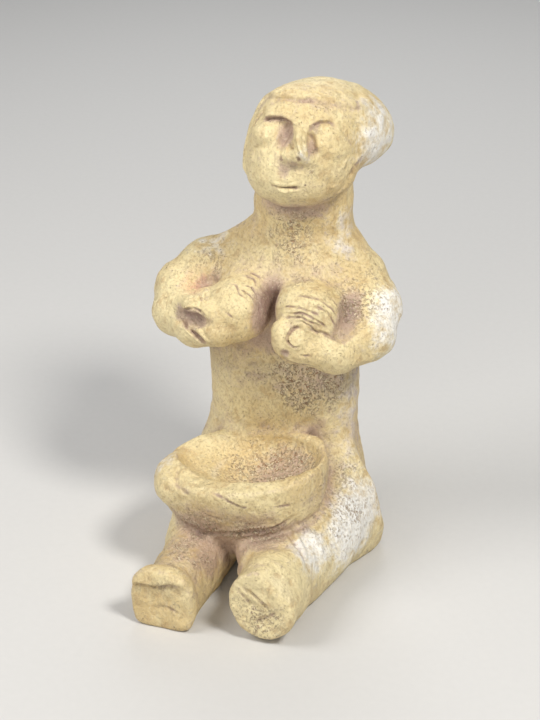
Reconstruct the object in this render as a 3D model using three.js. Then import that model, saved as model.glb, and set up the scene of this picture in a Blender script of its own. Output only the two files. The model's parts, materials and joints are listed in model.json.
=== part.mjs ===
import * as THREE from 'three';

// A seated woman with a bowl in her lap, modelled by hand from one lump of clay and fired.
// Millimetres, +Z up. She looks along -Y and her left hand is at +X. The origin lies on the
// flat underside, below the middle of the trunk.
// Each form is a field: negative inside, and close to the distance from its surface. Soft
// minimums join the forms as thumbed clay joins, and the zero level becomes the mesh.

// Driving dimensions: trunk and neck
const seatHalfWidth = 31;
const seatHalfDepth = 18.5;
const waistHalfWidth = 24.5;
const waistHalfDepth = 14.5;
const chestHalfWidth = 24;
const shoulderHeight = 87;
const neckHalfWidth = 15.4;
const neckHalfDepth = 12.5;
const chinHeight = 114;

// Driving dimensions: head
const headCentre = [4.5, 3, 133];
const headTurn = { yaw: 10, pitch: -17, roll: 7 };
const faceHalfWidth = 16.2;
const faceHalfDepth = 13.3;
const faceHalfHeight = 17;
const hairThickness = 0.8;
const browHeight = 15.2;
const noseRoot = 8.6;
const noseLength = 8.8;
const nostrilHalfWidth = 3.3;
const mouthHalfWidth = 4.6;

// Driving dimensions: arms, hands and breasts
const upperArmRadius = 9.2;
const elbowRadius = 8;
const wristRadius = 4.9;
const elbowHeight = 77.8;
const breastHalfWidth = 10.7;
const breastSpacing = 24;

// Driving dimensions: legs
const legSpacing = 30;
const soleHalfWidth = 10.5;
const soleHeight = 21;
const rightSoleFront = -65.5;
const leftSoleFront = -62.5;
const leftSoleTurn = { roll: -11.8 };
const thighHeight = 31;

// Driving dimensions: bowl
const bowlCentre = [-3.6, -23.2, 38.2];
const bowlTurn = { pitch: 3, roll: -9 };
const bowlHalfWidth = 26.4;
const bowlHalfDepth = 21.2;
const bowlHeight = 26;
const rimWidth = 6;
const hollowDepth = 10.5;

// Driving dimensions: mesh
const cellSize = 1.4;
const triangleLimit = 9000;
const headDetail = 8;
const handDetail = 3;

// Soft joins. The band is the width over which two forms flow together.
function join(a, b, band) {
  const overlap = Math.max(band - Math.abs(a - b), 0) / band;
  return Math.min(a, b) - overlap * overlap * band / 4;
}

function carve(body, tool, band) {
  return -join(-body, tool, band);
}

function ease(from, to, value) {
  const t = THREE.MathUtils.clamp((value - from) / (to - from), 0, 1);
  return t * t * (3 - 2 * t);
}

// Coordinates of a turned and shifted frame, with its turns in degrees.
function frame(centre, turn = {}) {
  const angles = [turn.pitch, turn.roll, turn.yaw].map((a) => THREE.MathUtils.degToRad(a ?? 0));
  const matrix = new THREE.Matrix4().makeRotationFromEuler(new THREE.Euler(...angles, 'ZXY'));
  const m = matrix.elements;
  return (x, y, z) => {
    const dx = x - centre[0];
    const dy = y - centre[1];
    const dz = z - centre[2];
    return [
      m[0] * dx + m[1] * dy + m[2] * dz,
      m[4] * dx + m[5] * dy + m[6] * dz,
      m[8] * dx + m[9] * dy + m[10] * dz,
    ];
  };
}

function ellipsoid(centre, radii, turn) {
  const toLocal = frame(centre, turn);
  return (x, y, z) => {
    const u = toLocal(x, y, z).map((value, i) => value / radii[i]);
    const size = Math.hypot(u[0], u[1], u[2]);
    const slope = Math.hypot(u[0] / radii[0], u[1] / radii[1], u[2] / radii[2]);
    return size * (size - 1) / Math.max(slope, 1e-6);
  };
}

// A rounded box that lies between an ellipsoid and a block.
function pillow(centre, radii, power) {
  const reach = Math.min(...radii);
  return (x, y, z) => {
    const sum = Math.abs((x - centre[0]) / radii[0]) ** power
      + Math.abs((y - centre[1]) / radii[1]) ** power
      + Math.abs((z - centre[2]) / radii[2]) ** power;
    return (sum ** (1 / power) - 1) * reach;
  };
}

// A round bar through points that hold x, y, z and the radius there.
function limb(points, band = 0.5) {
  const spans = points.slice(1).map((end, i) => {
    const start = points[i];
    const along = [end[0] - start[0], end[1] - start[1], end[2] - start[2]];
    const lengthSquared = along[0] ** 2 + along[1] ** 2 + along[2] ** 2;
    return (x, y, z) => {
      const dx = x - start[0];
      const dy = y - start[1];
      const dz = z - start[2];
      const dot = dx * along[0] + dy * along[1] + dz * along[2];
      const t = THREE.MathUtils.clamp(dot / lengthSquared, 0, 1);
      const distance = Math.hypot(dx - t * along[0], dy - t * along[1], dz - t * along[2]);
      return distance - (start[3] + (end[3] - start[3]) * t);
    };
  });
  return (x, y, z) => spans.map((span) => span(x, y, z)).reduce((a, b) => join(a, b, band));
}

// Slope of a smooth curve at each station, from its neighbours on both sides.
function stationSlopes(places, values) {
  const last = places.length - 1;
  return values.map((value, i) => {
    if (i === 0) return (values[1] - value) / (places[1] - places[0]);
    if (i === last) return (value - values[last - 1]) / (places[last] - places[last - 1]);
    const before = places[i] - places[i - 1];
    const after = places[i + 1] - places[i];
    const rise = before * before * (values[i + 1] - value) + after * after * (value - values[i - 1]);
    return rise / (before * after * (before + after));
  });
}

// A body along one axis. Each section holds its place on the axis, its centre across the
// axis and its two half sizes. Its outline is round at power 2 and squarer above it.
function tower(sections, { axis = 2, power = 2, cap = 4 } = {}) {
  const [first, second] = [0, 1, 2].filter((i) => i !== axis);
  const places = sections.map((section) => section[0]);
  const last = places.length - 1;
  const columns = [1, 2, 3, 4].map((i) => sections.map((section) => section[i]));
  const slopes = columns.map((column) => stationSlopes(places, column));
  return (...point) => {
    const at = point[axis];
    let span = 0;
    while (span < last - 1 && at > places[span + 1]) span += 1;
    const length = places[span + 1] - places[span];
    const s = THREE.MathUtils.clamp((at - places[span]) / length, 0, 1);
    const [centreA, centreB, halfA, halfB] = columns.map((column, i) => (
      (2 * s ** 3 - 3 * s ** 2 + 1) * column[span]
      + (s ** 3 - 2 * s ** 2 + s) * slopes[i][span] * length
      + (3 * s ** 2 - 2 * s ** 3) * column[span + 1]
      + (s ** 3 - s ** 2) * slopes[i][span + 1] * length
    ));
    const a = Math.abs(point[first] - centreA) / halfA;
    const b = Math.abs(point[second] - centreB) / halfB;
    const side = ((a ** power + b ** power) ** (1 / power) - 1) * Math.min(halfA, halfB);
    const end = Math.max(places[0] - at, at - places[last]);
    return -join(-side, -end, cap);
  };
}

// Trunk, neck and the slopes of the shoulders
const trunk = tower([
  [-8, -0.5, 5, seatHalfWidth - 2, seatHalfDepth - 2],
  [2, -0.5, 5, seatHalfWidth, seatHalfDepth],
  [8, -0.5, 5, seatHalfWidth, seatHalfDepth],
  [20, -1.9, 7.5, seatHalfWidth - 3.6, 18],
  [36, -2.8, 9, waistHalfWidth + 0.1, waistHalfDepth + 0.5],
  [56, -2.8, 9, waistHalfWidth, waistHalfDepth],
  [74, -2.8, 10, waistHalfWidth + 0.5, waistHalfDepth - 1],
  [shoulderHeight + 1, -1.5, 12, chestHalfWidth, 12.5],
  [shoulderHeight + 13, 1, 14, 17, 11],
], { power: 2.3, cap: 6 });
const neck = tower([
  [shoulderHeight - 3, 1, 14, 19, 12],
  [shoulderHeight + 8, 1.3, 14, neckHalfWidth + 1, 12],
  [shoulderHeight + 17, 1.6, 14, neckHalfWidth, neckHalfDepth],
  [chinHeight, 2, 13, neckHalfWidth, neckHalfDepth + 1],
  [chinHeight + 12, 3, 12, neckHalfWidth - 1.4, neckHalfDepth],
], { cap: 6 });
const rightShoulder = limb([[-13, 12, shoulderHeight + 6, 8.5], [-28, 9, shoulderHeight - 0.5, 9]]);
const leftShoulder = limb([[12, 12, shoulderHeight + 6, 8], [20, 11, shoulderHeight + 0.5, 9.2]]);

function upright(x, y, z) {
  let body = join(trunk(x, y, z), neck(x, y, z), 8);
  body = join(body, rightShoulder(x, y, z), 6);
  return join(body, leftShoulder(x, y, z), 7);
}

// Head, in its own turned frame: x across the face, -y out of it, z up the forehead
const toHead = frame(headCentre, headTurn);
const face = pillow([0.5, -0.5, 0.8], [faceHalfWidth, faceHalfDepth, faceHalfHeight], 2.4);
const chin = ellipsoid([-2.4, -1.5, -7.4], [12.1, 11.4, 9.7]);
const crown = ellipsoid([5.4, 8, 7.6], [17, 15, 12.8]);
const rolledHair = ellipsoid([5, 17.3, 7.1], [18.8, 12, 11], { yaw: -4, pitch: 8 });
const eyes = [[-7.4, 4.4, 0.9, -1], [7.6, 3.8, 0, 1]].map(([across, up, depth, side]) => ({
  socket: ellipsoid([across, depth - 14.6, up], [5.8, 2.4, 4]),
  lid: ellipsoid([across + 0.4 * side, -8.6, up - 1.4], [6.2, 4.5, 4.4]),
}));
const noseTip = noseRoot - noseLength;
const noseRidge = limb([[-0.3, -12.2, noseRoot, 1.5], [1.2, -14.9, 3.4, 1.5], [2.8, -16.7, noseTip, 1.7]], 1);
const nostrils = limb([
  [1.4 - nostrilHalfWidth, -13.2, noseTip - 1.5, 1.7],
  [2, -15.6, noseTip - 1.3, 1.8],
  [1.3 + nostrilHalfWidth, -13.2, noseTip - 1.6, 1.6],
], 1);
const mouth = ellipsoid([-0.4, -13.2, -10.9], [mouthHalfWidth, 1.8, 0.5], { roll: -3 });

function head(x, y, z) {
  const [across, out, up] = toHead(x, y, z);
  let skull = join(face(across, out, up), chin(across, out, up), 4);
  skull = join(skull, crown(across, out, up), 4);
  skull = join(skull, rolledHair(across, out, up), 7);
  for (const eye of eyes) {
    skull = carve(skull, eye.socket(across, out, up), 1.6);
    skull = join(skull, eye.lid(across, out, up), 1.2);
  }
  skull = join(skull, join(noseRidge(across, out, up), nostrils(across, out, up), 1.5), 2);
  skull = carve(skull, mouth(across, out, up), 0.6);
  const overBrow = browHeight - up - 0.006 * (across - 4) ** 2;
  const hairEdge = Math.max(Math.min(overBrow, -4 - out), -9 - up + 0.3 * out);
  return skull - hairThickness * ease(0.9, -0.9, hairEdge);
}

// Breasts and the arms that bend round to hold them
const halfSpacing = breastSpacing / 2;
const rightBreast = ellipsoid([-halfSpacing, -8, 82], [breastHalfWidth - 0.5, 11, 10], { roll: -12 });
const leftBreast = ellipsoid([halfSpacing, -8, 84], [breastHalfWidth + 0.5, 11, 10], { roll: 12 });
const rightArm = limb([
  [-28, 9, shoulderHeight - 1, upperArmRadius - 0.2],
  [-34.5, 3, elbowHeight + 2.8, upperArmRadius - 0.5],
  [-32.5, -6, elbowHeight - 0.3, elbowRadius - 0.2],
  [-24.5, -12, elbowHeight - 1.6, wristRadius + 1.1],
  [-16, -15.5, elbowHeight - 0.8, wristRadius],
], 3);
const leftArm = limb([
  [20, 11, shoulderHeight, upperArmRadius + 0.3],
  [26.8, 5, elbowHeight + 5.2, upperArmRadius - 0.1],
  [28.1, -3, elbowHeight - 0.1, elbowRadius],
  [21, -12, elbowHeight - 2.5, wristRadius + 1.5],
  [9.5, -16.5, elbowHeight - 1, wristRadius],
], 3);
const rightHandHollows = [
  limb([[-27.4, -16.8, 81, 2], [-22.5, -18.6, 81.3, 2.4]]),
  limb([[-23, -20, 79, 1.2], [-18, -21.5, 73.5, 0.6]]),
];
const leftArmHollow = limb([[27.4, -7, 90, 1.8], [26.8, -9.6, 85.6, 2.7], [23.6, -14, 82, 1.8]]);
const rightThumb = limb([[-31, -10, 82.5, 2.4], [-24.5, -15, 84.2, 2.4], [-18, -17, 84, 2.2]], 2);
const leftFist = ellipsoid([6.4, -18, 79.8], [4.2, 4.2, 6.2], { roll: -6 });
const leftFingertip = ellipsoid([11.2, -18.4, 80.2], [2.9, 3.2, 3.2]);
const leftFistFold = limb([[9.4, -22.8, 83.4, 0.8], [9.9, -23.2, 80.4, 1], [9.6, -23, 77.4, 0.7]]);

function addArms(body, x, y, z) {
  const softAbove = 3 + 6 * ease(82, 92, z);
  let form = join(body, rightBreast(x, y, z), softAbove);
  form = join(form, leftBreast(x, y, z), softAbove);
  form = join(form, join(rightArm(x, y, z), leftArm(x, y, z), 1), 3.5);
  form = carve(form, leftArmHollow(x, y, z), 2.5);
  for (const hollow of rightHandHollows) form = carve(form, hollow(x, y, z), 2);
  form = join(form, leftFist(x, y, z), 1.8);
  form = join(form, leftFingertip(x, y, z), 1.5);
  form = carve(form, leftFistFold(x, y, z), 1.2);
  return join(form, rightThumb(x, y, z), 2.5);
}

// Legs along -Y, open between the feet and closed by clay at the fork
const legAcross = legSpacing / 2;
const soleMiddle = soleHeight / 2;
const thighHalfHeight = thighHeight - 13;
const rightLeg = tower([
  [rightSoleFront + 3.5, -legAcross, soleMiddle - 2.5, soleHalfWidth - 2, soleMiddle + 0.5],
  [-40, -legAcross - 0.3, 8.5, 9.8, 11.5],
  [-22, -legAcross - 1.9, 11, 12.9, 13],
  [0, -legAcross - 2.2, 13, 14.2, thighHalfHeight],
], { axis: 1, power: 2.3, cap: 4 });
const leftLeg = tower([
  [leftSoleFront + 8.5, legAcross, soleMiddle + 1.1, soleHalfWidth - 1.5, soleMiddle + 0.5],
  [-48, legAcross, 11, 9.8, 11.6],
  [-40, legAcross, 10.2, 10.6, 12.2],
  [-20, legAcross + 2, 11.5, 13, 14],
  [0, legAcross + 2, 14, 15, thighHalfHeight],
], { axis: 1, power: 2.2, cap: 1.6 });
const forkBack = ellipsoid([-1, -20, 16], [12, 15, 11]);
const forkFront = limb([[0, -28, 16, 6], [7, -44, 14, 5]]);
const rightFoot = tower([
  [rightSoleFront, -legAcross - 0.8, soleMiddle - 1.5, soleHalfWidth + 0.1, soleMiddle + 1.1],
  [rightSoleFront + 5.5, -legAcross - 0.5, soleMiddle - 1.5, soleHalfWidth - 0.7, soleMiddle + 0.7],
], { axis: 1, power: 2.6, cap: 2.2 });
const toLeftFoot = frame([legAcross + 0.1, 0, soleMiddle + 1.8], leftSoleTurn);
const leftFoot = tower([
  [leftSoleFront, 0.3, 0.7, soleHalfWidth, soleMiddle + 1.1],
  [leftSoleFront + 7.5, 0.2, 0.2, soleHalfWidth - 0.6, soleMiddle + 0.8],
  [leftSoleFront + 16.5, 0, -1, soleHalfWidth - 1.3, soleMiddle + 0.5],
], { axis: 1, cap: 1.6 });

// The flat that runs down beside her left sole, steepest towards the outer side
function leftFootFlat(x, y, z) {
  return 0.727 * (x - 20.4) + 0.686 * (z - 18.4) - 0.3 * (y - leftSoleFront);
}

function addLegs(body, x, y, z) {
  const softness = 9 - 6 * ease(-26, -46, y);
  let leftShin = join(leftLeg(x, y, z), leftFoot(...toLeftFoot(x, y, z)), 3);
  leftShin = carve(leftShin, -leftFootFlat(x, y, z), 1.6);
  let form = join(body, rightLeg(x, y, z), softness);
  form = join(form, leftShin, softness);
  form = join(form, forkBack(x, y, z), 4);
  form = join(form, forkFront(x, y, z), 5);
  return join(form, rightFoot(x, y, z), 1.6);
}

// Bowl with a thick rim, wider in a flat lip at its right front, in its own tilted frame
const toBowl = frame(bowlCentre, bowlTurn);
const bowlWall = tower([
  [-bowlHeight, -4, 2, 15, 12],
  [-bowlHeight + 6, -3.4, 1, 21.2, 17],
  [-bowlHeight + 13, -2.5, 0.3, bowlHalfWidth - 1.2, bowlHalfDepth - 1.6],
  [-bowlHeight + 20, -1.4, 0, bowlHalfWidth, bowlHalfDepth - 0.6],
  [0.5, -0.9, 0.2, bowlHalfWidth, bowlHalfDepth],
], { power: 2.15, cap: 2.2 });
const bowlLip = ellipsoid([-19.8, -6, -3.4], [8.8, 10.6, 7], { yaw: 10 });
const bowlHollow = ellipsoid([4.2, 2, 2], [bowlHalfWidth - 7, bowlHalfDepth - rimWidth - 0.4, hollowDepth + 2]);
const shallowHollow = ellipsoid([-2.8, 1.6, 2.5], [bowlHalfWidth - 6.2, bowlHalfDepth - rimWidth - 1, 7.6]);

function addBowl(body, x, y, z) {
  const [across, along, up] = toBowl(x, y, z);
  const vessel = join(bowlWall(across, along, up), bowlLip(across, along, up), 3);
  const form = join(body, vessel, 2.2);
  const hollow = join(bowlHollow(across, along, up), shallowHollow(across, along, up), 3);
  return carve(form, hollow, 2);
}

// The whole figure, cut flat where it stands
function figure(x, y, z) {
  let form = join(upright(x, y, z), head(x, y, z), 2.5);
  form = addArms(form, x, y, z);
  form = addLegs(form, x, y, z);
  form = addBowl(form, x, y, z);
  return carve(form, z, 1);
}

// Sample places along one axis. One cell is centred on zero, so that the flat underside,
// where the field is linear, comes out exactly flat.
function samplePlaces(from, to) {
  const first = Math.floor(from / cellSize) - 1;
  const last = Math.ceil(to / cellSize) + 1;
  return Array.from({ length: last - first + 1 }, (_, i) => (first + i + 0.5) * cellSize);
}

// The field on a grid, and one mesh point in each cell that the surface crosses, at the
// mean of the crossings on the cell's edges. Each crossed grid edge gives two triangles.
function meshField(field, xs, ys, zs) {
  const strides = [ys.length * zs.length, zs.length, 1];
  const counts = [xs.length, ys.length, zs.length];
  const values = new Float64Array(xs.length * strides[0]);
  xs.forEach((x, i) => ys.forEach((y, j) => zs.forEach((z, k) => {
    values[i * strides[0] + j * strides[1] + k] = field(x, y, z);
  })));
  const axes = [xs, ys, zs];
  const points = [];
  const pointOfCell = new Int32Array(values.length).fill(-1);
  const crossed = (at, axis) => (values[at] < 0) !== (values[at + strides[axis]] < 0);
  const cellPoint = (cell) => {
    const sum = [0, 0, 0];
    let crossings = 0;
    for (let axis = 0; axis < 3; axis += 1) {
      const [a, b] = [0, 1, 2].filter((i) => i !== axis);
      for (let corner = 0; corner < 4; corner += 1) {
        const offset = [0, 0, 0];
        offset[a] = corner & 1;
        offset[b] = corner >> 1;
        const node = cell.map((c, i) => c + offset[i]);
        const at = node[0] * strides[0] + node[1] * strides[1] + node[2];
        if (!crossed(at, axis)) continue;
        const t = values[at] / (values[at] - values[at + strides[axis]]);
        for (let i = 0; i < 3; i += 1) {
          const places = axes[i];
          const low = places[node[i]];
          sum[i] += i === axis ? low + t * (places[node[i] + 1] - low) : low;
        }
        crossings += 1;
      }
    }
    if (crossings > 0) {
      pointOfCell[cell[0] * strides[0] + cell[1] * strides[1] + cell[2]] = points.length;
      points.push(sum.map((value) => value / crossings));
    }
  };
  for (let i = 0; i < counts[0] - 1; i += 1) {
    for (let j = 0; j < counts[1] - 1; j += 1) {
      for (let k = 0; k < counts[2] - 1; k += 1) cellPoint([i, j, k]);
    }
  }
  const triangles = [];
  for (let axis = 0; axis < 3; axis += 1) {
    const a = strides[(axis + 1) % 3];
    const b = strides[(axis + 2) % 3];
    for (let at = a + b; at < values.length - strides[axis]; at += 1) {
      if (!crossed(at, axis)) continue;
      const around = [at - a - b, at - b, at, at - a].map((cell) => pointOfCell[cell]);
      if (values[at] >= 0) around.reverse();
      triangles.push([around[0], around[1], around[2]], [around[0], around[2], around[3]]);
    }
  }
  return { points, triangles };
}

// Edges to fold away, cheapest first
class CheapestFirst {
  constructor() {
    this.items = [];
  }

  push(item) {
    const { items } = this;
    let place = items.push(item) - 1;
    while (place > 0) {
      const parent = (place - 1) >> 1;
      if (items[parent].cost <= item.cost) break;
      items[place] = items[parent];
      place = parent;
    }
    items[place] = item;
  }

  pop() {
    const { items } = this;
    const top = items[0];
    const item = items.pop();
    const size = items.length;
    if (size === 0) return top;
    let place = 0;
    for (;;) {
      let child = 2 * place + 1;
      if (child >= size) break;
      if (child + 1 < size && items[child + 1].cost < items[child].cost) child += 1;
      if (item.cost <= items[child].cost) break;
      items[place] = items[child];
      place = child;
    }
    items[place] = item;
    return top;
  }
}

const subtract = (a, b) => [a[0] - b[0], a[1] - b[1], a[2] - b[2]];
const dot = (a, b) => a[0] * b[0] + a[1] * b[1] + a[2] * b[2];
const cross = (a, b) => [
  a[1] * b[2] - a[2] * b[1],
  a[2] * b[0] - a[0] * b[2],
  a[0] * b[1] - a[1] * b[0],
];

// Sum of squared distances to the planes of the faces round a point, as ten numbers
function planeQuadric(normal, offset, weight) {
  const v = [...normal, offset];
  const quadric = [];
  for (let i = 0; i < 4; i += 1) {
    for (let j = i; j < 4; j += 1) quadric.push(weight * v[i] * v[j]);
  }
  return quadric;
}

function quadricError(q, [x, y, z]) {
  return q[0] * x * x + q[4] * y * y + q[7] * z * z + q[9]
    + 2 * (q[1] * x * y + q[2] * x * z + q[5] * y * z + q[3] * x + q[6] * y + q[8] * z);
}

// The point where the error is least, or nothing where the faces are nearly flat
function bestPoint(q) {
  const rows = new THREE.Matrix3(q[0], q[1], q[2], q[1], q[4], q[5], q[2], q[5], q[7]);
  const scale = q[0] + q[4] + q[7];
  if (Math.abs(rows.determinant()) < 1e-4 * scale ** 3) return null;
  return new THREE.Vector3(-q[3], -q[6], -q[8]).applyMatrix3(rows.invert()).toArray();
}

// More triangles are kept where the form is small: on the face and on the hands
function detailAt([x, y, z]) {
  if (z > chinHeight && y < 0) return headDetail;
  if (z > elbowHeight - 12 && z < elbowHeight + 14 && y < -10) return handDetail;
  return 1;
}

// Folds the cheapest edges away until few enough triangles are left. The body stays
// closed, no face turns over, and what lies on the ground stays on it.
function thin({ points, triangles }, limit) {
  const faces = triangles.map((corners) => [...corners]);
  const facesAt = points.map(() => new Set());
  const quadrics = points.map(() => new Array(10).fill(0));
  const version = new Int32Array(points.length);
  const onGround = points.map((point) => Math.abs(point[2]) < 1e-9);
  const faceNormal = ([a, b, c]) => cross(subtract(points[b], points[a]), subtract(points[c], points[a]));
  faces.forEach((corners, index) => {
    const normal = faceNormal(corners);
    const area = Math.hypot(...normal) || 1e-12;
    const unit = normal.map((value) => value / area);
    const quadric = planeQuadric(unit, -dot(unit, points[corners[0]]), area * detailAt(points[corners[0]]));
    for (const corner of corners) {
      facesAt[corner].add(index);
      quadric.forEach((value, i) => {
        quadrics[corner][i] += value;
      });
    }
  });
  const neighbours = (point) => {
    const around = new Set();
    for (const face of facesAt[point]) faces[face].forEach((corner) => around.add(corner));
    around.delete(point);
    return around;
  };
  const target = (a, b, quadric) => {
    if (onGround[a] !== onGround[b]) return onGround[a] ? points[a] : points[b];
    const middle = points[a].map((value, i) => (value + points[b][i]) / 2);
    const choices = [points[a], points[b], middle];
    const best = onGround[a] ? null : bestPoint(quadric);
    const reach = Math.hypot(...subtract(points[a], points[b]));
    if (best && best[2] > 0 && Math.hypot(...subtract(best, middle)) < 2 * reach) choices.push(best);
    return choices.reduce((p, r) => (quadricError(quadric, r) < quadricError(quadric, p) ? r : p));
  };
  const queue = new CheapestFirst();
  const offer = (a, b) => {
    const quadric = quadrics[a].map((value, i) => value + quadrics[b][i]);
    const place = target(a, b, quadric);
    const length = Math.hypot(...subtract(points[a], points[b]));
    const cost = quadricError(quadric, place) + 1e-4 * length;
    queue.push({ cost, a, b, place, quadric, stamp: version[a] + version[b] });
  };
  const staysUpright = (from, to, place) => {
    for (const face of facesAt[from]) {
      const corners = faces[face];
      if (corners.includes(to)) continue;
      const moved = corners.map((corner) => (corner === from ? place : points[corner]));
      const before = faceNormal(corners);
      const after = cross(subtract(moved[1], moved[0]), subtract(moved[2], moved[0]));
      if (dot(before, after) < 0.3 * Math.hypot(...before) * Math.hypot(...after)) return false;
    }
    return true;
  };
  points.forEach((_, a) => neighbours(a).forEach((b) => {
    if (a < b) offer(a, b);
  }));
  let left = faces.length;
  while (left > limit && queue.items.length > 0) {
    const { a, b, place, quadric, stamp } = queue.pop();
    if (stamp !== version[a] + version[b] || !facesAt[a].size || !facesAt[b].size) continue;
    const aroundB = neighbours(b);
    const shared = [...neighbours(a)].filter((point) => aroundB.has(point));
    if (shared.length !== 2 || !aroundB.has(a)) continue;
    if (!staysUpright(a, b, place) || !staysUpright(b, a, place)) continue;
    for (const face of [...facesAt[b]]) {
      const corners = faces[face];
      if (corners.includes(a)) {
        corners.forEach((corner) => facesAt[corner].delete(face));
        faces[face] = null;
        left -= 1;
      } else {
        corners[corners.indexOf(b)] = a;
        facesAt[a].add(face);
      }
    }
    facesAt[b].clear();
    points[a] = place;
    quadrics[a] = quadric;
    onGround[a] = onGround[a] || onGround[b];
    version[a] += 1;
    neighbours(a).forEach((point) => {
      version[point] += 1;
    });
    neighbours(a).forEach((point) => {
      offer(a, point);
      neighbours(point).forEach((other) => {
        if (other !== a) offer(point, other);
      });
    });
  }
  return { points, triangles: faces.filter((corners) => corners !== null) };
}

// One geometry from the points that are still used
function toGeometry({ points, triangles }) {
  const newIndex = new Map();
  const positions = [];
  const indices = triangles.flat().map((point) => {
    if (!newIndex.has(point)) {
      newIndex.set(point, newIndex.size);
      positions.push(...points[point]);
    }
    return newIndex.get(point);
  });
  const geometry = new THREE.BufferGeometry();
  geometry.setAttribute('position', new THREE.Float32BufferAttribute(positions, 3));
  geometry.setIndex(indices);
  geometry.computeVertexNormals();
  return geometry;
}

const buffClay = new THREE.MeshStandardMaterial({ color: 0xcdb688, roughness: 0.72, metalness: 0 });

const reach = { left: -50, right: 44, front: -70, back: 40, top: 157 };
const wholeBody = meshField(
  figure,
  samplePlaces(reach.left, reach.right),
  samplePlaces(reach.front, reach.back),
  samplePlaces(0, reach.top),
);
const figurine = new THREE.Mesh(toGeometry(thin(wholeBody, triangleLimit)), buffClay);
figurine.name = 'figurine';

const group = new THREE.Group();
group.add(figurine);

export default group;
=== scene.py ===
import json
import math
import bpy
import numpy as np
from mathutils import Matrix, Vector

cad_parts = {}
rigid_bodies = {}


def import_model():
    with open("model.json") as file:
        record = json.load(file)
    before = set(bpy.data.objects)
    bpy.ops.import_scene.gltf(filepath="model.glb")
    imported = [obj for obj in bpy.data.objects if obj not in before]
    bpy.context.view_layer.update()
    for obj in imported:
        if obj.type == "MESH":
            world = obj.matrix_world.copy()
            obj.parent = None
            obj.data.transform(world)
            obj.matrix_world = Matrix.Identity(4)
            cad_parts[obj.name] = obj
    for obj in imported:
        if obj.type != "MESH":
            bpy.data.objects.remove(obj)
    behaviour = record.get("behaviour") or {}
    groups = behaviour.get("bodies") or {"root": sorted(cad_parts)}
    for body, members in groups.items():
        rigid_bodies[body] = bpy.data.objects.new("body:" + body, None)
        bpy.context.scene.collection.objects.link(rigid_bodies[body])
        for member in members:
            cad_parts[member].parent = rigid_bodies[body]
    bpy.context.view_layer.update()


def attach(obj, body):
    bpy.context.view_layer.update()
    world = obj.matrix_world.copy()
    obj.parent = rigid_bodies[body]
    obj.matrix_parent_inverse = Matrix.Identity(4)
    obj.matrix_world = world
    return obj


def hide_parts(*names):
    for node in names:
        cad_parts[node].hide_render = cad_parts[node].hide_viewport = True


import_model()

# A seated woman with a bowl in her lap, modelled by hand from one lump of clay and fired.
# She looks along -y and her left hand is at +x. Shapes are worked out in millimetres and
# written to the mesh in metres.

mm = 0.001


# Basic forms. Each gives a field: negative inside, close to the distance from the surface.

def join(a, b, band):
    # min(a, b) - band/4 * (1 - |a - b|/band)^2 where the two are closer than the band
    near = np.maximum(band - np.abs(a - b), 0) / band
    return np.minimum(a, b) - near * near * band / 4


def carve(body, tool, band):
    # max(body, -tool), rounded over the band in the same way
    return -join(-body, tool, band)


def ease(start, end, value):
    # 3t^2 - 2t^3 with t running from 0 at start to 1 at end
    t = np.clip((value - start) / (end - start), 0, 1)
    return t * t * (3 - 2 * t)


def cubic(t, a, b, slopeA, slopeB, length=1):
    # the smooth curve from a to b that leaves and arrives with the given slopes
    return ((2 * t ** 3 - 3 * t ** 2 + 1) * a + (t ** 3 - 2 * t ** 2 + t) * slopeA * length
            + (3 * t ** 2 - 2 * t ** 3) * b + (t ** 3 - t ** 2) * slopeB * length)


def turned(points, centre, yaw=0, pitch=0, roll=0):
    # local = (Rz(yaw) Rx(pitch) Ry(roll)) transposed * (point - centre)
    y, p, r = np.radians([yaw, pitch, roll])
    rz = np.array([[np.cos(y), -np.sin(y), 0], [np.sin(y), np.cos(y), 0], [0, 0, 1]])
    rx = np.array([[1, 0, 0], [0, np.cos(p), -np.sin(p)], [0, np.sin(p), np.cos(p)]])
    ry = np.array([[np.cos(r), 0, np.sin(r)], [0, 1, 0], [-np.sin(r), 0, np.cos(r)]])
    m = rz @ rx @ ry
    d = [points[i] - centre[i] for i in range(3)]
    return [m[0, i] * d[0] + m[1, i] * d[1] + m[2, i] * d[2] for i in range(3)]


def ellipsoid(points, centre, radii, **turn):
    # |q| (|q| - 1) / |q / r| with q = local / r
    q = [a / r for a, r in zip(turned(points, centre, **turn), radii)]
    size = np.sqrt(q[0] ** 2 + q[1] ** 2 + q[2] ** 2)
    slope = np.sqrt((q[0] / radii[0]) ** 2 + (q[1] / radii[1]) ** 2 + (q[2] / radii[2]) ** 2)
    return size * (size - 1) / np.maximum(slope, 1e-6)


def pillow(points, centre, radii, power):
    # ((|x/a|^n + |y/b|^n + |z/c|^n)^(1/n) - 1) * smallest radius
    total = sum(np.abs((p - c) / r) ** power for p, c, r in zip(points, centre, radii))
    return (total ** (1 / power) - 1) * min(radii)


def limb(points, stops, band=0.5):
    # a round bar through stops (x, y, z, radius): distance to the nearest place on its line,
    # less the radius there
    form = None
    for start, end in zip(stops[:-1], stops[1:]):
        along = np.subtract(end[:3], start[:3])
        d = [points[i] - start[i] for i in range(3)]
        t = np.clip(sum(a * b for a, b in zip(d, along)) / (along @ along), 0, 1)
        span = np.sqrt(sum((a - t * b) ** 2 for a, b in zip(d, along)))
        span = span - (start[3] + (end[3] - start[3]) * t)
        form = span if form is None else join(form, span, band)
    return form


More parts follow.
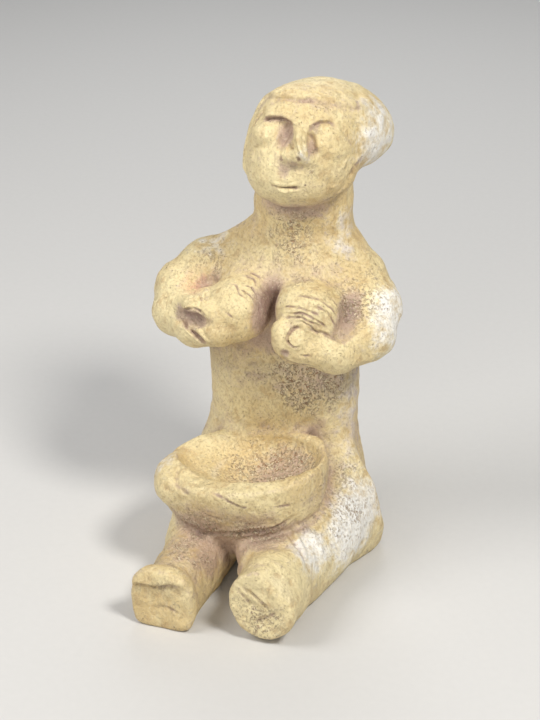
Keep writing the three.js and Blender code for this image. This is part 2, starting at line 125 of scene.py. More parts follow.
def tower(points, stops, power=2.0, cap=4.0, axis=2):
    # A body along one axis through stops (place, centre, centre, half size, half size), with
    # smooth cubic curves between them, round at power 2 and squarer above it.
    stops = np.array(stops, float)
    places, columns = stops[:, 0], stops[:, 1:]
    slopes = np.gradient(columns, places, axis=0)
    first, second = [i for i in range(3) if i != axis]
    at = points[axis]
    span = np.clip(np.searchsorted(places, at) - 1, 0, len(places) - 2)
    length = places[span + 1] - places[span]
    s = np.clip((at - places[span]) / length, 0, 1)
    centreA, centreB, halfA, halfB = [
        cubic(s, columns[span, c], columns[span + 1, c], slopes[span, c], slopes[span + 1, c], length)
        for c in range(4)
    ]
    a = np.abs(points[first] - centreA) / halfA
    b = np.abs(points[second] - centreB) / halfB
    side = ((a ** power + b ** power) ** (1 / power) - 1) * np.minimum(halfA, halfB)
    end = np.maximum(places[0] - at, at - places[-1])
    return carve(side, -end, cap)


# The body's own forms, one value set per part. The last number of a join or a carve is how
# wide the two blend.

trunk = {
    "seatHalfWidth": 31.0, "seatHalfDepth": 18.5,
    "waistHalfWidth": 24.5, "waistHalfDepth": 14.5,
    "shoulderHeight": 87.0, "neckHalfWidth": 15.4, "neckHalfDepth": 12.5,
}


def trunkForm(p):
    # a squarish tower from seat to shoulders, a round one for the neck, a bar per shoulder
    seatWide, seatDeep = trunk["seatHalfWidth"], trunk["seatHalfDepth"]
    waistWide, waistDeep = trunk["waistHalfWidth"], trunk["waistHalfDepth"]
    neckWide, neckDeep = trunk["neckHalfWidth"], trunk["neckHalfDepth"]
    high = trunk["shoulderHeight"]
    body = tower(p, [
        (-8, -0.5, 5, seatWide - 2, seatDeep - 2),
        (2, -0.5, 5, seatWide, seatDeep),
        (8, -0.5, 5, seatWide, seatDeep),
        (20, -1.9, 7.5, seatWide - 3.6, 18),
        (36, -2.8, 9, waistWide + 0.1, waistDeep + 0.5),
        (56, -2.8, 9, waistWide, waistDeep),
        (74, -2.8, 10, waistWide + 0.5, waistDeep - 1),
        (high + 1, -1.5, 12, 24, 12.5),
        (high + 13, 1, 14, 17, 11),
    ], power=2.3, cap=6)
    neck = tower(p, [
        (high - 3, 1, 14, 19, 12),
        (high + 8, 1.3, 14, neckWide + 1, 12),
        (high + 17, 1.6, 14, neckWide, neckDeep),
        (high + 27, 2, 13, neckWide, neckDeep + 1),
        (high + 39, 3, 12, neckWide - 1.4, neckDeep),
    ], cap=6)
    rightShoulder = limb(p, [(-13, 12, high + 6, 8.5), (-28, 9, high - 0.5, 9)])
    leftShoulder = limb(p, [(12, 12, high + 6, 8), (20, 11, high + 0.5, 9.2)])
    body = join(join(body, neck, 8), rightShoulder, 6)
    return join(body, leftShoulder, 7)


head = {
    "centre": (4.5, 3, 133), "yaw": 10, "pitch": -17, "roll": 7,
    "faceSize": (16.2, 13.3, 17), "socketSize": (5.8, 2.4, 4), "cheekSize": (6.2, 4.5, 4.4),
    # centre and radii, in the head's own axes
    "jaw": ((-2.4, -1.5, -7.4), (12.1, 11.4, 9.7)),
    "crown": ((5.4, 8, 7.6), (17, 15, 12.8)),
    "bun": ((5, 17.3, 7.1), (18.8, 12, 11)), "bunYaw": -4, "bunPitch": 8,
    "browHeight": 15.2, "browFall": 0.006, "templeDepth": -4, "napeHeight": -9,
    "hairThickness": 0.8, "noseRoot": 8.6, "noseTip": -0.2, "mouthHalfWidth": 4.6,
}


def headForm(p):
    # A squarish face with jaw, crown and bun joined to it. A socket is carved and a cheek
    # set in on each side, then come the nose and the slit of the mouth.
    q = turned(p, head["centre"], head["yaw"], head["pitch"], head["roll"])
    across, back, up = q
    skull = pillow(q, (0.5, -0.5, 0.8), head["faceSize"], 2.4)
    skull = join(skull, ellipsoid(q, *head["jaw"]), 4)
    skull = join(skull, ellipsoid(q, *head["crown"]), 4)
    bun = ellipsoid(q, *head["bun"], yaw=head["bunYaw"], pitch=head["bunPitch"])
    skull = join(skull, bun, 7)
    for side, x, z, depth in ((-1, -7.4, 4.4, 0.9), (1, 7.6, 3.8, 0)):
        socket = ellipsoid(q, (x, depth - 14.6, z), head["socketSize"])
        cheek = ellipsoid(q, (x + 0.4 * side, -8.6, z - 1.4), head["cheekSize"])
        skull = join(carve(skull, socket, 1.6), cheek, 1.2)
    root, tip = head["noseRoot"], head["noseTip"]
    ridge = limb(q, [(-0.3, -12.2, root, 1.5), (1.2, -14.9, 3.4, 1.5), (2.8, -16.7, tip, 1.7)], 1)
    wings = limb(q, [(-1.9, -13.2, tip - 1.5, 1.7), (2, -15.6, tip - 1.3, 1.8),
                     (4.6, -13.2, tip - 1.6, 1.6)], 1)
    skull = join(skull, join(ridge, wings, 1.5), 2)
    mouth = ellipsoid(q, (-0.4, -13.2, -10.9), (head["mouthHalfWidth"], 1.8, 0.5), roll=-3)
    skull = carve(skull, mouth, 0.6)
    # hair stands proud where this is below zero: max(min(over the brow, behind the
    # temple), over the nape)
    overBrow = head["browHeight"] - up - head["browFall"] * (across - 4) ** 2
    overNape = head["napeHeight"] - up + 0.3 * back
    hairEdge = np.maximum(np.minimum(overBrow, head["templeDepth"] - back), overNape)
    return skull - head["hairThickness"] * ease(0.9, -0.9, hairEdge)


arms = {"upperArm": 9.2, "elbow": 8.0, "wrist": 4.9, "elbowHeight": 77.8, "breast": 10.7}


def addArms(body, p):
    # breasts, both arms as bars from shoulder to hand, then the hollows and folds
    high, low = trunk["shoulderHeight"], arms["elbowHeight"]
    thick, bend, thin = arms["upperArm"], arms["elbow"], arms["wrist"]
    breast = arms["breast"]
    band = 3 + 6 * ease(82, 92, p[2])  # softer above, where the breasts leave the chest
    body = join(body, ellipsoid(p, (-12, -8, 82), (breast - 0.5, 11, 10), roll=-12), band)
    body = join(body, ellipsoid(p, (12, -8, 84), (breast + 0.5, 11, 10), roll=12), band)
    right = limb(p, [(-28, 9, high - 1, thick - 0.2), (-34.5, 3, low + 2.8, thick - 0.5),
                     (-32.5, -6, low - 0.3, bend - 0.2), (-24.5, -12, low - 1.6, thin + 1.1),
                     (-16, -15.5, low - 0.8, thin)], 3)
    left = limb(p, [(20, 11, high, thick + 0.3), (26.8, 5, low + 5.2, thick - 0.1),
                    (28.1, -3, low - 0.1, bend), (21, -12, low - 2.5, thin + 1.5),
                    (9.5, -16.5, low - 1, thin)], 3)
    body = join(body, join(right, left, 1), 3.5)
    leftHollow = limb(p, [(27.4, -7, 90, 1.8), (26.8, -9.6, 85.6, 2.7), (23.6, -14, 82, 1.8)])
    rightHollow = limb(p, [(-27.4, -16.8, 81, 2), (-22.5, -18.6, 81.3, 2.4)])
    rightFold = limb(p, [(-23, -20, 79, 1.2), (-18, -21.5, 73.5, 0.6)])
    for hollow, edge in ((leftHollow, 2.5), (rightHollow, 2), (rightFold, 2)):
        body = carve(body, hollow, edge)
    leftFist = ellipsoid(p, (6.4, -18, 79.8), (4.2, 4.2, 6.2), roll=-6)
    fistLobe = ellipsoid(p, (11.2, -18.4, 80.2), (2.9, 3.2, 3.2))
    body = join(join(body, leftFist, 1.8), fistLobe, 1.5)
    fistFold = limb(p, [(9.4, -22.8, 83.4, 0.8), (9.9, -23.2, 80.4, 1), (9.6, -23, 77.4, 0.7)])
    body = carve(body, fistFold, 1.2)
    rightThumb = limb(p, [(-31, -10, 82.5, 2.4), (-24.5, -15, 84.2, 2.4), (-18, -17, 84, 2.2)], 2)
    filling = ellipsoid(p, (-22.5, -7, 81.5), (5.5, 6.5, 4.8))  # between thumb and breast
    return join(join(body, rightThumb, 2.5), filling, 3)


legs = {
    "apart": 15.0, "soleHalfWidth": 10.5, "soleMiddle": 10.5, "thigh": 18.0,
    "rightSole": -65.5, "leftSole": -62.5, "leftSoleLean": -11.8,
    "leftFlatFacing": (0.727, -0.3, 0.686), "leftFlatPlace": (20.4, 18.4),
}


def addLegs(body, p):
    # a tower along y for each leg, sharper joins towards the feet, and clay between the legs
    x, wide, mid = legs["apart"], legs["soleHalfWidth"], legs["soleMiddle"]
    right, left, thigh = legs["rightSole"], legs["leftSole"], legs["thigh"]
    softness = 9 - 6 * ease(-26, -46, p[1])
    rightShin = tower(p, [
        (right + 3.5, -x, mid - 2.5, wide - 2, mid + 0.5),
        (-40, -x - 0.3, 8.5, 9.8, 11.5),
        (-22, -x - 1.9, 11, 12.9, 13),
        (0, -x - 2.2, 13, 14.2, thigh),
    ], axis=1, power=2.3, cap=4)
    leftShin = tower(p, [
        (left + 8.5, x, mid + 1.1, wide - 1.5, mid + 0.5),
        (-48, x, 11, 9.8, 11.6),
        (-40, x, 10.2, 10.6, 12.2),
        (-20, x + 2, 11.5, 13, 14),
        (0, x + 2, 14, 15, thigh),
    ], axis=1, power=2.2, cap=1.6)
    leftFoot = tower(turned(p, (x + 0.1, 0, mid + 1.8), roll=legs["leftSoleLean"]), [
        (left, 0.3, 0.7, wide, mid + 1.1),
        (left + 7.5, 0.2, 0.2, wide - 0.6, mid + 0.8),
        (left + 16.5, 0, -1, wide - 1.3, mid + 0.5),
    ], axis=1, cap=1.6)
    rightFoot = tower(p, [
        (right, -x - 0.8, mid - 1.5, wide + 0.1, mid + 1.1),
        (right + 5.5, -x - 0.5, mid - 1.5, wide - 0.7, mid + 0.7),
    ], axis=1, power=2.6, cap=2.2)
    # the flat beside her left sole is a plane: facing . (p - place) = 0
    (faceX, faceY, faceZ), (placeX, placeZ) = legs["leftFlatFacing"], legs["leftFlatPlace"]
    flat = faceX * (p[0] - placeX) + faceZ * (p[2] - placeZ) + faceY * (p[1] - left)
    body = join(body, rightShin, softness)
    body = join(body, carve(join(leftShin, leftFoot, 3), -flat, 1.6), softness)
    body = join(body, ellipsoid(p, (-1, -20, 16), (12, 15, 11)), 4)
    body = join(body, limb(p, [(0, -28, 16, 6), (7, -44, 14, 5)]), 5)
    return join(body, rightFoot, 1.6)


bowl = {
    "centre": (-3.6, -23.2, 38.2), "pitch": 3, "roll": -9,
    "height": 26.0, "halfWidth": 26.4, "halfDepth": 21.2,
    # centre and radii, in the bowl's own axes
    "thickSide": ((-19.8, -6, -3.4), (8.8, 10.6, 7)), "thickSideYaw": 10,
    "hollow": ((4.2, 2, 2), (19.4, 14.8, 12.5)),
    "shallowHollow": ((-2.8, 1.6, 2.5), (20.2, 14.2, 7.6)),
}


def addBowl(body, p):
    # a flaring tower, thicker at her right, with two overlapping hollows carved from the top
    q = turned(p, bowl["centre"], pitch=bowl["pitch"], roll=bowl["roll"])
    tall, wide, deep = bowl["height"], bowl["halfWidth"], bowl["halfDepth"]
    wall = tower(q, [
        (-tall, -4, 2, 15, 12),
        (-tall + 6, -3.4, 1, 21.2, 17),
        (-tall + 13, -2.5, 0.3, wide - 1.2, deep - 1.6),
        (-tall + 20, -1.4, 0, wide, deep - 0.6),
        (0.5, -0.9, 0.2, wide, deep),
    ], power=2.15, cap=2.2)
    wall = join(wall, ellipsoid(q, *bowl["thickSide"], yaw=bowl["thickSideYaw"]), 3)
    hollow = join(ellipsoid(q, *bowl["hollow"]), ellipsoid(q, *bowl["shallowHollow"]), 3)
    return carve(join(body, wall, 2.2), hollow, 2)


def figureForm(p):
    # the whole figure, cut flat where it sits: max(form, -z)
    form = join(trunkForm(p), headForm(p), 2.5)
    form = addBowl(addLegs(addArms(form, p), p), p)
    return carve(form, p[2], 1)


# From field to mesh. A branching body with a hollow has no surface of two parameters, so
# the field's zero level is meshed on a grid, all cells at once.

clayMesh = {
    "cell": 1.06, "reach": ((-50, 44), (-70, 40), (0, 157)),
    "block": 400000, "slab": 16,  # places, and rows of the grid, worked out at a time
    # limits of a Newton step, and how low the skin may come beside the flat underside
    "longestStep": 0.6, "leastSlope": 0.2, "lowestSkin": 0.02,
}
groundBand = 1e-6  # a point no higher than this lies on the ground


def fieldAt(places):
    # the figure's field at many places
    size = clayMesh["block"]
    parts = [figureForm(list(places[i:i + size].T)) for i in range(0, len(places), size)]
    return np.concatenate(parts)


def gridMesh():
    # One cell is centred on z = 0, so the underside comes out flat there. Each crossed cell
    # gets one point, the mean of the crossings on its edges; each crossed edge gives a quad.
    cell, slab = clayMesh["cell"], clayMesh["slab"]
    axes = [(np.arange(math.floor(a / cell) - 1, math.ceil(b / cell) + 2) + 0.5) * cell
            for a, b in clayMesh["reach"]]
    shape = [len(a) for a in axes]
    values = np.empty(shape)
    for i in range(0, shape[0], slab):
        rows = np.meshgrid(axes[0][i:i + slab], axes[1], axes[2], indexing="ij")
        values[i:i + slab] = figureForm(rows)
    inside = values < 0
    corners = sum(inside[i:shape[0] - 1 + i, j:shape[1] - 1 + j, k:shape[2] - 1 + k].astype(np.int8)
                  for i in (0, 1) for j in (0, 1) for k in (0, 1))
    crossed = (corners > 0) & (corners < 8)
    cells = np.stack(np.nonzero(crossed), 1)
    total, count = np.zeros((len(cells), 3)), np.zeros(len(cells))
    for axis in range(3):
        others = [i for i in range(3) if i != axis]
        for u in (0, 1):
            for v in (0, 1):
                low = cells.copy()
                low[:, others[0]] += u
                low[:, others[1]] += v
                high = low.copy()
                high[:, axis] += 1
                a, b = values[tuple(low.T)], values[tuple(high.T)]
                cut = (a < 0) != (b < 0)
                at = low.astype(float)
                at[:, axis] += np.where(cut, a / np.where(cut, a - b, 1), 0)
                total += at * cut[:, None]
                count += cut
    grid = total / count[:, None]
    points = np.stack([axes[i][0] + grid[:, i] * cell for i in range(3)], 1)
    number = np.full(crossed.shape, -1)
    number[tuple(cells.T)] = np.arange(len(cells))
    # a quad through the four cells round each crossed edge, turned to face outwards
    quads = []
    for axis in range(3):
        low, high = [slice(1, -1)] * 3, [slice(1, -1)] * 3
        low[axis], high[axis] = slice(0, -1), slice(1, None)
        start, end = inside[tuple(low)], inside[tuple(high)]
        at = np.stack(np.nonzero(start != end), 1)
        flip = ~start[tuple(at.T)]
        at += [0 if i == axis else 1 for i in range(3)]
        first, second = [i for i in range(3) if i != axis][:: -1 if axis == 1 else 1]
        ring = []
        for da, db in ((-1, -1), (0, -1), (0, 0), (-1, 0)):
            near = at.copy()
            near[:, first] += da
            near[:, second] += db
            ring.append(number[tuple(near.T)])
        ring = np.stack(ring, 1)
        ring[flip] = ring[flip][:, ::-1]
        quads.append(ring)
    quads = np.concatenate(quads)
    return points, np.concatenate([quads[:, [0, 1, 2]], quads[:, [0, 2, 3]]])


def slopeAt(points, reach=0.15):
    # central differences of the field
    offsets = np.eye(3) * reach
    return np.stack([fieldAt(points + o) - fieldAt(points - o) for o in offsets], 1) / (2 * reach)


def settle(points, rounds=2):
    # Newton steps onto the zero level: p - f(p) grad f / |grad f|^2. The underside stays flat.
    points = points.copy()
    free = points[:, 2] > groundBand
    longest = clayMesh["longestStep"]
    for _ in range(rounds):
        some = points[free]
        slope = slopeAt(some)
        step = fieldAt(some) / np.maximum((slope ** 2).sum(1), clayMesh["leastSlope"])
        points[free] = some - np.clip(step, -longest, longest)[:, None] * slope
    points[free, 2] = np.maximum(points[free, 2], clayMesh["lowestSkin"])
    return points


def refine(points, triangles, wanted):
    # Every edge of a wanted triangle is halved. Its neighbours are split to match, so the
    # mesh stays closed: 4 triangles from 3 halved edges, 3 from 2 and 2 from 1.
    pairs = np.concatenate([triangles[:, [0, 1]], triangles[:, [1, 2]], triangles[:, [2, 0]]])
    pairs.sort(1)
    keys, edge = np.unique(pairs[:, 0] * len(points) + pairs[:, 1], return_inverse=True)
    edge = edge.reshape(3, -1).T
    halved = np.zeros(len(keys), bool)
    halved[edge[wanted].ravel()] = True
    ends = np.stack([keys // len(points), keys % len(points)], 1)[halved]
    middle = np.full(len(keys), -1)
    middle[halved] = len(points) + np.arange(halved.sum())
    fresh = settle(points[ends].mean(1))
    fresh[(points[ends][:, :, 2] < groundBand).all(1), 2] = 0
    cut = halved[edge]
    # turned so that the halved edge comes first, or the one after the whole edge
    amount = cut.sum(1)
    turn = np.where(amount == 2, (np.argmin(cut, 1) + 1) % 3, np.argmax(cut, 1))
    order = (turn[:, None] + np.arange(3)) % 3
    a, b, c = np.take_along_axis(triangles, order, 1).T
    ab, bc, ca = middle[np.take_along_axis(edge, order, 1)].T

    def stack(*corners):
        return np.stack(corners, 1)

    whole, one, two, three = (amount == k for k in range(4))
    new = [
        stack(a, b, c)[whole],
        stack(a, ab, c)[one], stack(ab, b, c)[one],
        stack(ab, b, bc)[two], stack(a, ab, bc)[two], stack(a, bc, c)[two],
        stack(a, ab, ca)[three], stack(ab, b, bc)[three],
        stack(ca, bc, c)[three], stack(ab, bc, ca)[three],
    ]
    return np.concatenate([points, fresh]), np.concatenate(new)


# Where the hand left fine work: centre, reach on each axis, and how many times to refine

fineWork = {
    "face": ((4, -8, 132), (19, 16, 20), 1),
    "eyes and nose": ((6.5, -9, 139.5), (16, 11, 8.5), 2),
    "mouth": ((4.5, -12, 127), (7, 6, 3), 2),
    "hair lump": ((19.5, 8, 147), (6, 7, 5), 1),
    "breasts and hands": ((-3, -16, 82), (33, 15, 15), 1),
    "left breast lines": ((14, -14, 86), (10, 12, 8), 2),
    "right breast lines": ((-8, -8, 90), (8, 12, 6), 2),
    "curled fingers": ((10, -21, 80), (6, 5, 6), 2),
    "right hand": ((-23, -17, 80), (8, 6, 7), 2),
    "bowl front": ((-1, -38, 32), (27, 12, 15), 1),
    "left leg ridge": ((18, -40, 22), (9, 9, 9), 1),
    "right sole": ((-16, -66, 15), (12, 4, 9), 1),
    "left sole": ((15, -63, 13), (12, 4, 13), 1),
}


def inZone(places, centre, reach):
    # sum of ((p - c) / r)^2 below 1
    return (((places - centre) / reach) ** 2).sum(1) < 1


def clayBody():
    # the grid's mesh, settled onto the form and refined where the fine work is
    points, triangles = gridMesh()
    points[np.abs(points[:, 2]) < groundBand, 2] = 0
    points = settle(points)
    for level in (1, 2):
        middle = points[triangles].mean(1)
        wanted = np.zeros(len(triangles), bool)
        for centre, reach, depth in fineWork.values():
            if depth >= level:
                wanted |= inZone(middle, centre, reach)
        points, triangles = refine(points, triangles, wanted)
    return points, triangles


# Even, repeatable noise from smooth blends of hashed lattice values

def latticeValue(i, j, k, seed):
    # fraction of 43758.5453 sin(12.99 i + 78.23 j + 37.72 k + 3.14 seed)
    s = np.sin(i * 12.9898 + j * 78.233 + k * 37.719 + seed * 3.137) * 43758.5453
    return s - np.floor(s)


def noise(points, size, seed):
    # value noise from -1 to 1 with features of the given size: the eight lattice values
    # round a point, each weighted by 6t^5 - 15t^4 + 10t^3 along every axis
    q = points / size
    base = np.floor(q)
    t = q - base
    t = t * t * t * (t * (t * 6 - 15) + 10)
    total = 0
    for i in (0, 1):
        for j in (0, 1):
            for k in (0, 1):
                weight = abs(1 - i - t[:, 0]) * abs(1 - j - t[:, 1]) * abs(1 - k - t[:, 2])
                value = latticeValue(base[:, 0] + i, base[:, 1] + j, base[:, 2] + k, seed)
                total = total + weight * value
    return total * 2 - 1


# Marks left by fingers and tools. Most are drawn as seen from the front, in x and z, and
# laid on the skin from there. Those with something in front of them have x, y and z.

laying = {"start": -76.0, "rounds": 60, "share": 0.8, "longestStep": 6, "settling": 6,
          "samples": 10}


def layOnSkin(marks):
    # (x, z) marches along +y from the front until the field reaches zero; (x, y, z) settles
    if marks.shape[1] == 3:
        return settle(marks, laying["settling"])
    y = np.full(len(marks), laying["start"])
    for _ in range(laying["rounds"]):
        gap = fieldAt(np.stack([marks[:, 0], y, marks[:, 1]], 1))
        y = y + np.clip(gap * laying["share"], -1, laying["longestStep"])
    return np.stack([marks[:, 0], y, marks[:, 1]], 1)


def smoothLine(stops):
    # cubic curve through the stops, slopes from their neighbours
    stops = np.array(stops, float)
    if len(stops) > 2:
        slope = np.gradient(stops, axis=0)
    else:
        slope = np.repeat(stops[1:] - stops[:1], 2, 0)
    t = np.linspace(0, 1, laying["samples"], endpoint=False)[:, None, None]
    line = cubic(t, stops[None, :-1], stops[None, 1:], slope[None, :-1], slope[None, 1:])
    return np.concatenate([line.transpose(1, 0, 2).reshape(-1, stops.shape[1]), stops[-1:]])


def alongLine(points, line, reach):
    # For points near the line: their distance to it, how far along they lie from 0 to 1, and
    # the offset from the nearest place on it
    near = np.nonzero(((points > line.min(0) - reach) & (points < line.max(0) + reach)).all(1))[0]
    best = np.full(len(near), np.inf)
    where, offset = np.zeros(len(near)), np.zeros((len(near), 3))
    some = points[near]
    for i in range(len(line) - 1):
        along = line[i + 1] - line[i]
        t = np.clip(((some - line[i]) @ along) / max(along @ along, 1e-9), 0, 1)
        gap = some - line[i] - t[:, None] * along
        distance = np.sqrt((gap ** 2).sum(1))
        closer = distance < best
        best[closer] = distance[closer]
        where[closer] = (i + t[closer]) / (len(line) - 1)
        offset[closer] = gap[closer]
    return near, best, where, offset


# Cut lines: width, depth (raised where negative), how much dark residue and painted shade
# they hold, then stops in x and z, or in x, y and z
cutLines = [
    # combed arcs over her left breast
    (0.33, 0.42, 0.9, [(7.5, 92), (11, 92.5), (14.5, 92.3), (17.5, 91.2), (19.5, 89.8),
                       (21, 88), (22, 86.5)]),
    (0.32, 0.32, 0.7, [(17.5, 92.3), (19.5, 91), (21.5, 88.7)]),
    (0.33, 0.40, 0.9, [(13, 91), (16, 90.4), (18.5, 89.2), (20.2, 87.4), (21.2, 85.3), (22, 83)]),
    (0.33, 0.42, 1.0, [(3, 87.4), (6.5, 89.3), (10.5, 90), (13.6, 89.5), (16.2, 88.9), (17.6, 87.9)]),
    (0.33, 0.42, 1.0, [(7, 87.3), (9.3, 88.4), (11.5, 88.7), (14, 88.3), (16.8, 86.8),
                       (19, 85), (20.2, 82.9)]),
    (0.33, 0.40, 1.0, [(6, 86.2), (8.5, 87.1), (11.7, 87.5), (14.6, 86.7), (17, 85.6), (18.6, 84)]),
    (0.34, 0.36, 0.9, [(9.6, 86), (13, 86.3), (15.3, 85.3), (17, 83.4), (18.7, 81.7)]),
    # finer arcs over her right breast
    (0.30, 0.30, 0.8, [(-10.5, 92.7), (-8, 92.1), (-5.7, 91)]),
    (0.30, 0.30, 0.8, [(-11.2, 92.4), (-8, 91.6), (-5.9, 90.2)]),
    (0.30, 0.32, 0.9, [(-10.3, 91.8), (-7.4, 90.9), (-5.2, 89.3), (-4.2, 88)]),
    (0.30, 0.32, 0.9, [(-9.8, 91.1), (-7.4, 90.1), (-4.6, 88)]),
    (0.30, 0.30, 0.8, [(-15.2, 91.2), (-11.7, 91.7), (-9.5, 90.4), (-7.6, 89.3), (-5.6, 87.8)]),
    (0.30, 0.28, 0.8, [(-12.9, 85.9), (-10.4, 84.4), (-9.3, 83.1)]),
    # fold round the lobe of her left fist, where the breast meets the forearm, its line and edge
    (0.42, 0.70, 0.7, [(13.2, 84.6), (11, 84.6), (9.3, 83.4), (8.8, 81.6), (9.6, 79.8),
                       (11.6, 79), (13.8, 79.6)]),
    (0.55, 0.55, 0.8, [(13.6, 85.4), (16.7, 83.7), (19.7, 82.4), (22.8, 80.4)]),
    (0.32, 0.35, 0.9, [(12.3, 76.4), (14.4, 76.2), (16.7, 76.8)]),
    (0.80, 0.35, 0.8, [(6.5, 75.2), (8.6, 73.6), (12.0, 72.5), (20.5, 72.0)]),
    # fold of her right hand, the finger beside it, and the flap above the hollow
    (0.48, 0.85, 1.0, [(-27.6, 79.8), (-25.5, 78.6), (-22.3, 76.7), (-19.3, 74.8), (-17.4, 73.3)]),
    (0.75, -0.55, 0.0, [(-26.6, 80.6), (-22.4, 78.6), (-19.0, 76.5), (-16.8, 74.6)]),
    (0.70, -0.55, 0.0, [(-28.0, 84.6), (-24.0, 86.6), (-20.8, 86.6), (-17.6, 85.4)]),
    (0.45, 0.60, 0.9, [(-27.8, 82.4), (-24.0, 84.5), (-20.8, 84.6), (-17.8, 83.6)]),
    # band of the hair: a ridge and the dark line below it
    (0.60, -0.32, 0.0, [(-4.2, 147.6), (-1.4, 150), (4.4, 150.8), (9.6, 150.8), (14, 150.2),
                        (16.8, 149.2)]),
    (0.50, 0.26, 0.45, [(-3.6, 146.6), (-1, 148.8), (4.4, 149.5), (9.6, 149.5), (14, 148.9), (16.5, 148)]),
    (0.60, 0.30, 0.35, [(18.6, 148.6), (20.1, 147.2), (21.3, 144.6)]),
    (0.50, 0.45, 0.5, [(-4.4, 146.3), (-6.3, 144.5), (-7.4, 142.4), (-7.7, 140.2), (-8.9, 136.3)]),
    # her brows, the sides of the nose, its ridge and the nostrils; the dark along the sides of the
    # nose is painted shade
    (0.45, 0.70, 1.0, [(-4.6, 143.3), (-3.2, 144.4), (-1.2, 144.9), (1.7, 145), (5, 144.3)]),
    (1.10, 0.70, 0.35, [(4.8, 144.4), (4.0, 142.4), (3.2, 140.1), (2.8, 137.9), (3, 135.2)]),
    (0.40, 0.55, 0.9, [(10.3, 142), (10.6, 143.3), (11.3, 144.2), (12.8, 144.7), (15.4, 144.5),
                       (17.2, 143.5)]),
    (1.00, 0.55, 0.2, [(10.2, 143.2), (10.9, 140.4), (11.9, 137.8), (13, 135)]),
    (0.60, -0.75, 0.0, [(7.8, 143.8), (8.6, 141.2), (9.9, 138.6), (11.4, 135.8)]),
    (0.55, 0.80, 1.0, [(8.6, 136.6), (9.4, 135.8), (9.8, 134.7)]),
    (0.45, 0.50, 0.9, [(3.4, 136), (3.3, 134.9), (3.8, 134)]),
    (0.50, 0.40, 0.4, [(17.5, 143.4), (19.4, 141.1), (20.7, 138.5), (21.2, 135.9)]),
    # mouth with its lips and the dot beside it
    (0.30, 0.60, 1.0, [(0.2, 127.2), (2.8, 126.3), (5.8, 126), (8.8, 126.8)]),
    (0.42, -0.35, 0.0, [(0.6, 128.2), (3.2, 127.3), (5.8, 127), (8.6, 127.8)]),
    (0.42, -0.35, 0.0, [(2.4, 125.3), (5.2, 124.9), (8.2, 125.4)]),
    (0.28, 0.45, 1.0, [(10.2, 127), (10.6, 127)]),
    # cheek and jaw: a pin hole, chips, and the crease in front of the bun
    (0.28, 0.55, 1.0, [(14.9, 128.5), (15.3, 128.5)]),
    (0.35, -0.40, 0.0, [(16.6, 126), (17.4, 125.5), (18.4, 126)]),
    (0.50, 0.70, 0.9, [(23.4, 133.2), (22.3, 130.7), (21.4, 129.1), (20.3, 126.8)]),
    (0.60, -0.40, 0.0, [(20.9, 135.4), (20.4, 133.3), (19.4, 130.8), (18.6, 128.4)]),
    # where the jaw meets the neck, its dark partly painted shadow under the chin
    (0.60, 0.60, 0.7, [(-4.8, 0.8, 114.8), (0.2, -0.6, 114.4), (5.5, -1.1, 115.5), (11.4, -3.7, 118.3),
                       (15.7, -2.6, 120.7), (18, -0.5, 123)]),
    # folds of the belly
    (0.60, 0.40, 0.6, [(-11.8, 60.2), (-7, 63), (-2.6, 63.1)]),
    (0.60, 0.35, 0.4, [(-16, 66.5), (-11, 67.5), (-6, 66)]),
    # the bowl: step of the lip, edge of the lip, dry cracks, and the crease over the thighs
    (0.70, 0.55, 0.4, [(-22.4, 38.8), (-21.4, 36.4), (-18.5, 34.4), (-14, 34.2)]),
    (0.90, -0.45, 0.0, [(-19.5, 36.4), (-14.9, 36.2), (-9.2, 37.8), (3.1, 39.6), (12.8, 40.8),
                        (19.8, 41.4)]),
    (0.35, 0.45, 1.0, [(-8.4, 37.2), (-3.9, 36.3), (1.7, 34.3), (4.6, 34.1)]),
    (0.32, 0.40, 1.0, [(10.8, 33.7), (13.5, 33.9), (16, 33.8)]),
    (0.30, 0.30, 0.7, [(-14, 30.5), (-9, 28.2), (-3, 27.8)]),
    (0.80, 0.80, 0.7, [(-22.9, -37.2, 24.9), (-19.3, -38, 20.9), (-10.4, -40.3, 19.9), (2.8, -40.5, 23.2),
                       (12.3, -37.2, 25.9), (17, -34.9, 30.1)]),
    # facet and ridge of her left leg
    (0.60, 0.60, 0.4, [(14.3, -35.5, 22.8), (16.8, -38.8, 22.3), (20.4, -41.8, 21), (22.5, -44.1, 19.3)]),
    (0.80, -0.70, 0.0, [(15, -33.5, 25), (18, -37, 24.2), (22, -40, 22.6), (24.4, -43, 20.2)]),
    (1.20, -0.60, 0.0, [(18.2, -32.9, 29.6), (22.4, -33.5, 20.8), (25.5, -35.8, 15.6)]),
    # grooves of the soles
    (0.60, 0.75, 0.6, [(-25.4, 12.4), (-22, 14.4), (-18, 14.6), (-14.7, 15), (-10.1, 16.6), (-6.2, 13.9)]),
    (0.55, 0.65, 0.6, [(8.8, 19.6), (12, 17.3), (16.1, 14.7), (18.3, 11.7)]),
    (0.50, 0.50, 0.5, [(7.6, 17.6), (10.7, 15.2), (13.9, 12.8)]),
    (0.42, 0.45, 0.8, [(12.6, 7.1), (17, 9.6), (20.8, 13)]),
    (0.42, 0.35, 0.6, [(-20, 6.5), (-14, 8), (-9, 6.2)]),
]
